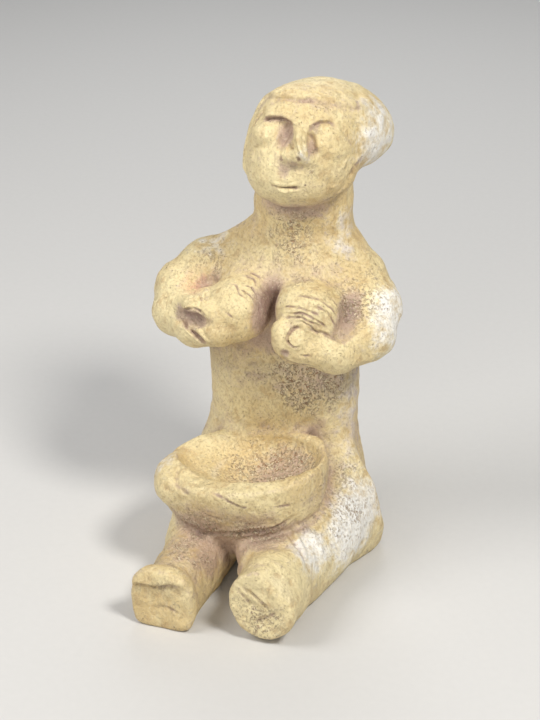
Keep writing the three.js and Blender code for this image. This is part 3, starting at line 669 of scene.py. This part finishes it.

# Ledges, one side standing proud of the other: width, height, how far it fades, painted shade
# below it, which way the raised side lies in x and z, then stops in x and z
ledges = [
    # her right brow over its shaded socket, and her left brow
    (0.5, 1.1, 2.6, 0.9, (0.1, 1), [(-4.2, 143.4), (-2, 145), (1, 145.4), (3.5, 145), (6, 144.4)]),
    (0.5, 0.6, 2.2, 0.5, (-0.2, 1), [(10.4, 142.8), (11.4, 144), (13.2, 144.8), (15.5, 144.6),
                                     (17.9, 142.8)]),
    # top lip of the right sole, and the edge of the right hand
    (0.6, 0.9, 4.0, 0.5, (0, 1), [(-26, 12.8), (-22, 14.9), (-16.5, 15), (-12, 16.4), (-6.5, 14.4)]),
    (0.6, 0.7, 3.0, 0.6, (-0.5, -1), [(-25, 79), (-21.5, 76), (-17.5, 73.8)]),
]

# Swellings and dents: centre, reach on each axis, height
swellings = [
    ((-1.8, -10, 140.6), (3.4, 5, 2.8), 0.8),
    ((2.8, -8, 142.2), (2.4, 4, 2.2), -0.9),
    ((14.8, -5, 140.4), (3.8, 5, 3), 0.6),
    ((11.4, -8.5, 138.6), (1.4, 4, 2.6), -0.5),
    ((5.8, -12, 137.6), (2.2, 4, 3.4), 0.8),
    ((4.4, -13, 131.5), (1.6, 3, 2.2), -0.5),
    ((12.6, -21, 82), (2.2, 2.5, 1.5), -0.4),
    ((6.8, -22.5, 80), (2.2, 3, 4), 0.5),
    ((8.2, -21.7, 76.8), (1.1, 2, 1.0), -0.7),
    ((21.5, 7, 147.5), (3, 5, 3), 0.6),
    ((19.6, 10.9, 148.1), (1.4, 2.4, 1.1), -0.8),
    ((-25.4, -17, 82), (2.8, 4, 1.9), -1.2),
    ((-21, -19, 81.6), (2.6, 4, 1.8), -1.0),
    ((-15, -22, 78.5), (3.5, 4, 3), 0.5),
    ((23.4, -7, 86.6), (2.4, 5, 4), -0.9),
    ((-26, -40, 30), (7, 8, 6), 0.6),
    ((-22.4, -36, 38), (3, 4, 2), -0.6),
    ((-4, -48, 17), (4, 4, 3), -1.0),
    ((6, -45, 26), (8, 6, 4), -0.6),
    ((30, -16, 14), (7, 9, 8), 0.7),
    ((-14, -66, 8), (7, 3, 4), -0.5),
    ((17, -63, 16), (4, 3, 5), 0.4),
]

# Unevenness left by each: height, size, stretch, and the number that picks its noise
unevenLayers = {
    "hand": (0.3, 12.0, (1, 1, 1), 3), "thumb": (0.3, 5.0, (1, 1, 0.7), 8),
    "dabs": (0.2, 2.6, (1, 1, 1), 11), "skin": (0.06, 1.5, (1, 1, 1), 15),
}
relief = {
    "handDrift": 0.2, "driftSize": 2.4,  # how far a line wanders, and over what length
    "wobble": 0.45, "wobbleSize": 1.8,  # how unevenly it is cut
    "burrHeight": 0.3, "burrPlace": 1.7, "burrWidth": 0.6,  # in shares of a line's depth and width
    "darkPatch": 0.5, "patchSize": 1.1, "darkWidth": 1.15,
}
hollowSteps = ((1.5, 0.4), (4.0, 0.35), (9.0, 0.25))  # how far out, and its share


def unevenness(points):
    # height * noise, added up layer by layer
    return sum(tall * noise(points * stretch, size, seed)
               for tall, size, stretch, seed in unevenLayers.values())


def laidLines():
    # the lines of all cut lines and ledges on the skin, those of one kind of stop together
    lines = [smoothLine(stops) for *_, stops in cutLines + ledges]
    for size in (2, 3):
        chosen = [i for i, line in enumerate(lines) if line.shape[1] == size]
        laid = layOnSkin(np.concatenate([lines[i] for i in chosen]))
        ends = np.cumsum([len(lines[i]) for i in chosen])
        for i, line in zip(chosen, np.split(laid, ends[:-1])):
            lines[i] = line
    return lines


def reliefOf(points):
    # height along the normal, and the residue and painted shade that each mark holds, per point
    height, residueAndShade = unevenness(points), np.zeros(len(points))
    lines = laidLines()
    drift = np.stack([noise(points, relief["driftSize"], seed) for seed in (31, 32, 33)], 1)
    drifted = points + drift * relief["handDrift"]
    patchy = relief["darkPatch"] * noise(points, relief["patchSize"], 41)
    for (width, depth, dark, _), line in zip(cutLines, lines):
        near, distance, along, _ = alongLine(drifted, line, 4 * width)
        # depth (burr exp(-((d - 1.7 w) / 0.6 w)^2) - exp(-(d/w)^2)), fading to the ends
        fade = ease(-0.02, 0.25, along) * ease(1.02, 0.75, along)
        wobble = 1 + relief["wobble"] * noise(points[near], relief["wobbleSize"], 21)
        groove = np.exp(-(distance / width) ** 2)
        fromBurr = (distance - relief["burrPlace"] * width) / (relief["burrWidth"] * width)
        burr = relief["burrHeight"] * np.exp(-fromBurr ** 2)
        height[near] += fade * wobble * depth * (burr - groove)
        spread = np.exp(-(distance / (relief["darkWidth"] * width)) ** 2)
        held = fade * dark * (0.72 + patchy[near]) * spread
        residueAndShade[near] = np.maximum(residueAndShade[near], held)
    for (width, tall, reach, dark, side, _), line in zip(ledges, lines[len(cutLines):]):
        near, distance, along, offset = alongLine(drifted, line, 2.5 * reach)
        # tall (ease(-w, w, s) - 1/2) exp(-(s/reach)^2), s the signed distance across the line
        across = np.array([side[0], 0, side[1]]) / math.hypot(*side)
        s = distance * np.sign(offset @ across)
        fade = ease(0, 0.15, along) * ease(1, 0.85, along) * np.exp(-(np.abs(s) / reach) ** 2)
        height[near] += tall * fade * (ease(-width, width, s) - 0.5)
        # painted shade below the raised side, held with the residue
        below = np.exp(-((s + 0.9 * width) / (1.6 * width)) ** 2)
        held = dark * (0.7 + patchy[near]) * ease(0, 0.2, along) * ease(1, 0.8, along) * below
        residueAndShade[near] = np.maximum(residueAndShade[near], held)
    for centre, reach, tall in swellings:
        # tall exp(-sum(((p - c) / r)^2))
        height += tall * np.exp(-(((points - centre) / reach) ** 2).sum(1))
    return height, residueAndShade


def hollowness(points, normals):
    # 1 - f(p + h n)/h, averaged over several h: nothing on a flat, near 1 in a crevice
    total = 0
    for step, share in hollowSteps:
        total = total + share * np.clip(1 - fieldAt(points + normals * step) / step, -0.5, 1)
    return total


# Zones of colour: centre, reach on each axis, strength. Residue and shade is a purple-brown
# wash: residue, and painted shade under the chin, in her right eye socket, beside the nose and
# under the bowl. Wear and highlight is bare pale clay, worn on her left hip and painted highlight
# where the light falls; warmth is the pink of the firing, pitting is small worm-like pits.
zones = {
    "residueAndShade": [
        # the first is painted shadow under the chin, with purple residue in it
        ((3, -4, 115), (15, 9, 6), 0.75), ((2, -10, 102), (12, 10, 8), 0.4),
        ((-2, -12, 84), (3, 14, 9), 1.0), ((4, -8, 70), (16, 12, 5), 0.7),
        ((8, -6, 60), (16, 12, 10), 0.45), ((-4, -48, 20), (9, 12, 9), 0.7),
        ((-6, -40, 23), (20, 8, 5), 0.6), ((23.4, -7, 86), (3.2, 9, 6), 0.9),
        ((8.2, -21.7, 76.8), (1.4, 3, 1.4), 1.0), ((-24, -18, 81.8), (5.5, 6, 2.8), 1.0),
        # the first darkens the bowl's right inner wall
        ((7, -17, 31), (13, 12, 9), 0.8), ((-2, -43, 28), (21, 5, 5), 0.45),
        # both are painted shade: in her right eye socket, partly purple, and in the recess right of the
        # nose
        ((3.4, -9, 141), (2.6, 5, 4), 0.8), ((11.2, -9, 138.6), (1.2, 4, 2.6), 0.35),
        ((6, -14, 134), (4.2, 6, 2), 0.3), ((4, -13, 131), (1.8, 5, 2.6), 0.6),
        # the first is painted shade under the bowl at her right
        ((-16, -48, 22), (9, 12, 7), 0.35), ((-8, -8, 62), (18, 12, 13), 0.3),
    ],
    "wearAndHighlight": [
        # her left hip is worn bare, partly painted highlight; the zones on her left flank and waist, the
        # bun's right side, her right shoulder and the nose ridge are painted highlight
        ((33, -18, 22), (12, 22, 17), 0.95), ((35, 0, 84), (7, 14, 14), 0.7),
        ((23, -38, 20), (8, 10, 9), 0.75), ((25, 12, 136), (8, 14, 15), 0.65),
        ((18, 4, 106), (7, 12, 9), 0.5), ((-31, -30, 38), (7, 8, 8), 0.45),
        ((24, 0, 48), (7, 14, 20), 0.55), ((-28, 6, 98), (12, 10, 6), 0.4),
        ((10.4, -12, 138), (1.8, 4, 5), 0.45),
    ],
    "warmth": [
        ((-27, -4, 85.5), (4.5, 6, 5.5), 0.9), ((-24, -10, 93), (5, 8, 5), 0.3),
        ((24, -24, 28), (8, 12, 9), 0.3),
    ],
    "pitting": [
        ((4, -8, 105), (15, 12, 12), 1.0), ((12, -8, 60), (16, 14, 14), 1.0),
        ((4, -20, 34), (18, 13, 10), 1.0), ((28, -18, 28), (16, 22, 18), 0.48),
        ((-24, 0, 92), (8, 12, 7), 0.4), ((-16, -50, 12), (12, 18, 12), 0.55),
        ((15, -62, 8), (11, 8, 8), 0.55), ((24, 0, 86), (10, 14, 10), 0.6),
        ((14, -4, 132), (10, 10, 10), 0.35), ((-2, -40, 24), (24, 8, 6), 0.6),
        ((-4, -20, 68), (20, 12, 6), 0.5),
    ],
}


def zoneOf(name, points):
    # greatest of strength * exp(-sum(((p - c) / r)^2)^1.5)
    total = np.zeros(len(points))
    for centre, reach, strength in zones[name]:
        spread = (((points - centre) / reach) ** 2).sum(1)
        total = np.maximum(total, strength * np.exp(-spread ** 1.5))
    return total


def buildFigurine():
    # each point moves along its normal by its relief, less and less within 1.5 mm of the ground
    points, triangles = clayBody()
    print("clay body:", len(points), "points,", len(triangles), "triangles")
    slope = slopeAt(points)
    normals = slope / np.maximum(np.linalg.norm(slope, axis=1), 1e-6)[:, None]
    height, residueAndShade = reliefOf(points)
    hollow = hollowness(points, normals)
    shaped = points + normals * (height * ease(0, 1.5, points[:, 2]))[:, None]
    lifted = np.maximum(shaped[:, 2], clayMesh["lowestSkin"])
    shaped[:, 2] = np.where(points[:, 2] < groundBand, 0, lifted)
    print("relief: from", round(float(height.min()), 2), "to", round(float(height.max()), 2), "mm")

    mesh = bpy.data.meshes.new("figurineClay")
    mesh.vertices.add(len(shaped))
    mesh.vertices.foreach_set("co", (shaped * mm).astype(np.float32).ravel())
    mesh.loops.add(triangles.size)
    mesh.loops.foreach_set("vertex_index", triangles.astype(np.int32).ravel())
    mesh.polygons.add(len(triangles))
    mesh.polygons.foreach_set("loop_start", np.arange(0, triangles.size, 3, dtype=np.int32))
    mesh.polygons.foreach_set("use_smooth", np.ones(len(triangles), bool))
    mesh.update()
    mesh.validate()
    values = {name: zoneOf(name, points) for name in zones}
    values["residueAndShade"] = np.clip(np.maximum(residueAndShade, values["residueAndShade"]), 0, 1)
    values["hollow"] = np.clip(hollow, -1, 1)
    values["marks"] = np.clip(residueAndShade, 0, 1)
    for name, value in values.items():
        layer = mesh.attributes.new(name, "FLOAT", "POINT")
        layer.data.foreach_set("value", value.astype(np.float32))
    figure = bpy.data.objects.new("figurineClay", mesh)
    bpy.context.collection.objects.link(figure)
    return figure


# Fired buff clay: pale cream where handled, purple-brown earth and painted shade in the hollows

clayLook = {
    "buff": (0.66, 0.495, 0.235), "paleBuff": (0.80, 0.675, 0.38), "deepBuff": (0.50, 0.34, 0.16),
    "cream": (0.88, 0.775, 0.52), "wornAndHighlit": (0.90, 0.88, 0.83), "pink": (0.68, 0.37, 0.22),
    "plum": (0.43, 0.295, 0.25), "deepPlum": (0.26, 0.165, 0.145),
    "earthAndShade": (0.19, 0.11, 0.07), "pitBrown": (0.36, 0.20, 0.11),
    # patterns to the metre: the larger the number, the finer the pattern
    "clouds": 38, "mottles": 230, "smears": 300, "flecks": 1100, "pinholes": 1500, "dabs": 210,
    # pits: pattern to the metre, half width, and the noise above which they show
    "finePits": (1150, 0.06, 0.53), "coarsePits": (580, 0.07, 0.53),
    # how far each covers the clay
    "highlitWearCover": 0.95, "plumCover": 0.75, "deepPlumCover": 0.7, "rimCover": 0.75, "pitCover": 0.88,
    "roughness": 0.46, "ior": 1.5, "shine": 0.45,
}


def clayMaterial():
    # noises on Object coordinates choose between the colours above, steered by the mesh's
    # own values of residue and painted shade, wear and painted highlight, warmth, pitting, hollow and
    # marks
    material = bpy.data.materials.new("buffFiredClay")
    material.use_nodes = True
    tree = material.node_tree
    nodes, links = tree.nodes, tree.links
    nodes.clear()

    def put(socket, value):
        if isinstance(value, bpy.types.NodeSocket):
            links.new(value, socket)
        elif socket.type == "RGBA":
            socket.default_value = (*value, 1)
        else:
            socket.default_value = value

    def node(kind, sockets, **settings):
        made = nodes.new(kind)
        for name, value in settings.items():
            setattr(made, name, value)
        for name, value in sockets.items():
            put(made.inputs[name], value)
        return made

    def maths(operation, a, b=0.0, clamp=False):
        return node("ShaderNodeMath", {0: a, 1: b}, operation=operation, use_clamp=clamp).outputs[0]

    def times(a, b):
        return maths("MULTIPLY", a, b)

    def varied(value, pattern, amount):
        # value + amount (pattern - 0.5)
        return maths("ADD", value, times(maths("SUBTRACT", pattern, 0.5), amount))

    def ramp(value, low, high):
        # 0 at low to 1 at high, with soft ends
        sockets = {"Value": value, "From Min": low, "From Max": high}
        return node("ShaderNodeMapRange", sockets, interpolation_type="SMOOTHSTEP").outputs[0]

    def mix(amount, a, b):
        return node("ShaderNodeMix", {0: amount, 6: a, 7: b}, data_type="RGBA").outputs[2]

    place = node("ShaderNodeTexCoord", {}).outputs["Object"]

    def grain(scale, detail, roughness, distortion=0.0, stretch=None):
        where = place
        if stretch:
            where = node("ShaderNodeMapping", {"Vector": place, "Scale": stretch}).outputs[0]
        return node("ShaderNodeTexNoise", {"Vector": where, "Scale": scale, "Detail": detail,
                                           "Roughness": roughness, "Distortion": distortion}).outputs[0]

    def painted(name):
        return node("ShaderNodeAttribute", {}, attribute_name=name).outputs["Fac"]

    residueAndShade, wearAndHighlight, warmth = painted("residueAndShade"), painted("wearAndHighlight"), painted("warmth")
    pitting, hollow, marks = painted("pitting"), painted("hollow"), painted("marks")

    # colour of the clay itself, in broad clouds, smears and small flecks
    clouds = grain(clayLook["clouds"], 3, 0.5)
    mottles = grain(clayLook["mottles"], 5, 0.65)
    flecks = grain(clayLook["flecks"], 3, 0.7)
    smears = grain(clayLook["smears"], 3, 0.6, 0.4, (1, 1, 0.4))
    colour = mix(ramp(clouds, 0.3, 0.65), clayLook["buff"], clayLook["paleBuff"])
    colour = mix(times(ramp(mottles, 0.5, 0.34), 0.6), colour, clayLook["deepBuff"])
    colour = mix(times(ramp(smears, 0.52, 0.68), 0.55), colour, clayLook["paleBuff"])
    colour = mix(times(warmth, ramp(mottles, 0.36, 0.6)), colour, clayLook["pink"])

    # bare worn clay and painted highlight, ragged at its edge, and paler crests as painted highlight
    # on convex forms
    wornAndHighlit = times(ramp(varied(wearAndHighlight, mottles, 1.6), 0.2, 0.8), clayLook["highlitWearCover"])
    bareAndHighlit = maths("MAXIMUM", wornAndHighlit, times(ramp(hollow, 0.02, -0.22), 0.4))
    colour = mix(bareAndHighlit, colour, clayLook["wornAndHighlit"])

    # worm-like pits: thin bands of one noise, broken up by another; both sides are pale, partly
    # a painted highlight on the ridges beside them
    def worms(scale, halfWidth, level):
        band = maths("ABSOLUTE", maths("SUBTRACT", grain(scale, 1.5, 0.5, 1.6), 0.5))
        broken = ramp(grain(scale * 1.05, 0.0, 0.5), level, level + 0.06)
        inner = times(ramp(band, halfWidth, halfWidth * 0.35), broken)
        edge = times(ramp(band, halfWidth * 3, halfWidth * 1.1), broken)
        return inner, maths("SUBTRACT", edge, inner, clamp=True)

    strewn = ramp(varied(pitting, mottles, 1.4), 0.2, 0.8)
    fineShare = maths("ADD", times(strewn, 0.8), 0.2)
    coarseShare = maths("ADD", times(strewn, 0.92), 0.08)
    (finePits, fineRims), (coarsePits, coarseRims) = [
        worms(*clayLook[name]) for name in ("finePits", "coarsePits")
    ]
    pits = maths("MAXIMUM", times(finePits, fineShare), times(coarsePits, coarseShare))
    rims = maths("MAXIMUM", times(fineRims, fineShare), times(coarseRims, coarseShare))
    pinholes = times(ramp(grain(clayLook["pinholes"], 1.0, 0.5), 0.66, 0.74),
                     ramp(mottles, 0.42, 0.62))

    # a plum wash of residue and painted shade in the hollows, darker earth in marks and pits,
    # and painted shade deep in crevices
    washAndShade = maths("ADD", times(residueAndShade, 0.95), times(hollow, 0.8))
    washAndShade = varied(varied(washAndShade, mottles, 1.3), flecks, 0.6)
    colour = mix(times(ramp(washAndShade, 0.1, 0.7), clayLook["plumCover"]), colour, clayLook["plum"])
    colour = mix(times(ramp(washAndShade, 0.65, 1.3), clayLook["deepPlumCover"]), colour,
                 clayLook["deepPlum"])
    # pale rims beside the pits, partly painted highlight
    colour = mix(times(rims, clayLook["rimCover"]), colour, clayLook["cream"])
    colour = mix(times(pits, clayLook["pitCover"]), colour, clayLook["pitBrown"])
    # dark: earth and painted shade held in the marks, painted shade where the hollow value is high, and
    # pinholes
    dark = maths("MAXIMUM", times(marks, 0.5), times(ramp(hollow, 0.45, 0.95), 0.4))
    dark = maths("MAXIMUM", dark, times(pinholes, 0.5), clamp=True)
    colour = mix(dark, colour, clayLook["earthAndShade"])
    chips = times(ramp(flecks, 0.56, 0.7), maths("ADD", times(strewn, 0.45), 0.35))
    colour = mix(chips, colour, clayLook["cream"])

    # relief too fine for the mesh, each pattern with its height in mm: crests are
    # 1 - |2 smears - 1|, dabs have soft edges
    folded = maths("ABSOLUTE", maths("SUBTRACT", times(smears, 2.0), 1.0))
    crests = maths("SUBTRACT", 1.0, folded)
    dabs = node("ShaderNodeTexVoronoi", {"Vector": place, "Scale": clayLook["dabs"], "Smoothness": 0.35},
                feature="SMOOTH_F1").outputs["Distance"]
    depth = 0.0
    for pattern, tall in ((pits, -0.26), (rims, 0.12), (pinholes, -0.25), (flecks, 0.16),
                          (crests, 0.55), (mottles, 0.9), (dabs, -0.6)):
        depth = maths("ADD", depth, times(pattern, tall))
    bump = node("ShaderNodeBump", {"Strength": 1.0, "Distance": mm, "Height": depth})

    rough = maths("ADD", clayLook["roughness"], times(maths("MAXIMUM", dark, pits), 0.25))
    shader = node("ShaderNodeBsdfPrincipled", {
        "Base Color": colour, "Roughness": maths("ADD", rough, times(flecks, 0.12)),
        "IOR": clayLook["ior"], "Specular IOR Level": clayLook["shine"], "Normal": bump.outputs[0],
    })
    node("ShaderNodeOutputMaterial", {"Surface": shader.outputs[0]})
    return material


# Stage, light and camera

stage = {"floorColour": (0.62, 0.61, 0.59), "floorSize": 6.0, "roughness": 0.85,
         "speckles": 400, "speckleShade": 0.96}


def buildStage():
    # a plain square of pale paper at z = 0, faintly speckled
    half = stage["floorSize"] / 2
    mesh = bpy.data.meshes.new("floor")
    corners = [(-half, -half, 0), (half, -half, 0), (half, half, 0), (-half, half, 0)]
    mesh.from_pydata(corners, [], [(0, 1, 2, 3)])
    floor = bpy.data.objects.new("floor", mesh)
    bpy.context.collection.objects.link(floor)
    material = bpy.data.materials.new("palePaper")
    material.use_nodes = True
    nodes, links = material.node_tree.nodes, material.node_tree.links
    shader = nodes["Principled BSDF"]
    shader.inputs["Roughness"].default_value = stage["roughness"]
    speckle = nodes.new("ShaderNodeTexNoise")
    links.new(nodes.new("ShaderNodeTexCoord").outputs["Object"], speckle.inputs["Vector"])
    speckle.inputs["Scale"].default_value = stage["speckles"]
    tint = nodes.new("ShaderNodeMix")
    tint.data_type = "RGBA"
    shade = [c * stage["speckleShade"] for c in stage["floorColour"]]
    tint.inputs[6].default_value = (*stage["floorColour"], 1)
    tint.inputs[7].default_value = (*shade, 1)
    links.new(speckle.outputs[0], tint.inputs[0])
    links.new(tint.outputs[2], shader.inputs["Base Color"])
    mesh.materials.append(material)


lights = {
    # place, aim, size, power, colour
    "key": ((0.45, -0.24, 0.70), (0.0, -0.02, 0.07), 0.2, 4.9, (1.0, 0.98, 0.94)),
    "left": ((-0.40, -0.30, 0.58), (0.0, 0.0, 0.08), 0.4, 2.6, (1.0, 0.98, 0.96)),
    "front": ((0.05, -0.85, 0.36), (0.0, 0.0, 0.07), 0.6, 2.1, (1.0, 0.98, 0.97)),
    "back": ((-0.15, 0.55, 0.55), (0.0, 0.0, 0.1), 0.4, 1.6, (0.95, 0.97, 1.0)),
}
studio = {"colour": (0.82, 0.85, 0.9), "strength": 0.22}  # the soft light from all round


def buildLights():
    for name, (place, aim, size, power, colour) in lights.items():
        data = bpy.data.lights.new(name, "AREA")
        data.shape = "DISK"
        data.size, data.energy, data.color = size, power, colour
        lamp = bpy.data.objects.new(name, data)
        lamp.location = place
        lamp.rotation_euler = (Vector(aim) - Vector(place)).to_track_quat("-Z", "Y").to_euler()
        bpy.context.collection.objects.link(lamp)
    world = bpy.data.worlds.new("studio")
    bpy.context.scene.world = world
    world.use_nodes = True
    background = world.node_tree.nodes["Background"]
    background.inputs["Color"].default_value = (*studio["colour"], 1)
    background.inputs["Strength"].default_value = studio["strength"]


camera = {"azimuth": 20.0, "elevation": 27.0, "distance": 0.6, "aim": (0.0, -0.014, 0.07),
          "lens": 98.0, "sensor": 36.0, "shift": (0.0028, -0.0028), "nearest": 0.01}


def buildCamera():
    # azimuth runs from the front towards her left, elevation up from the floor
    a, e = math.radians(camera["azimuth"]), math.radians(camera["elevation"])
    back = Vector((math.sin(a) * math.cos(e), -math.cos(a) * math.cos(e), math.sin(e)))
    data = bpy.data.cameras.new("camera")
    data.lens, data.sensor_width = camera["lens"], camera["sensor"]
    data.shift_x, data.shift_y = camera["shift"]
    data.clip_start = camera["nearest"]
    seen = bpy.data.objects.new("camera", data)
    seen.location = Vector(camera["aim"]) + back * camera["distance"]
    seen.rotation_euler = (-back).to_track_quat("-Z", "Y").to_euler()
    bpy.context.collection.objects.link(seen)
    bpy.context.scene.camera = seen
    # plain display colours, which keep the pale clay warm
    bpy.context.scene.view_settings.view_transform = "Standard"


figurine = buildFigurine()
figurine.data.materials.append(clayMaterial())
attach(figurine, "root")
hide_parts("figurine")
print("figurine dressed")

buildStage()
buildLights()
buildCamera()
print("stage, lights and camera set")
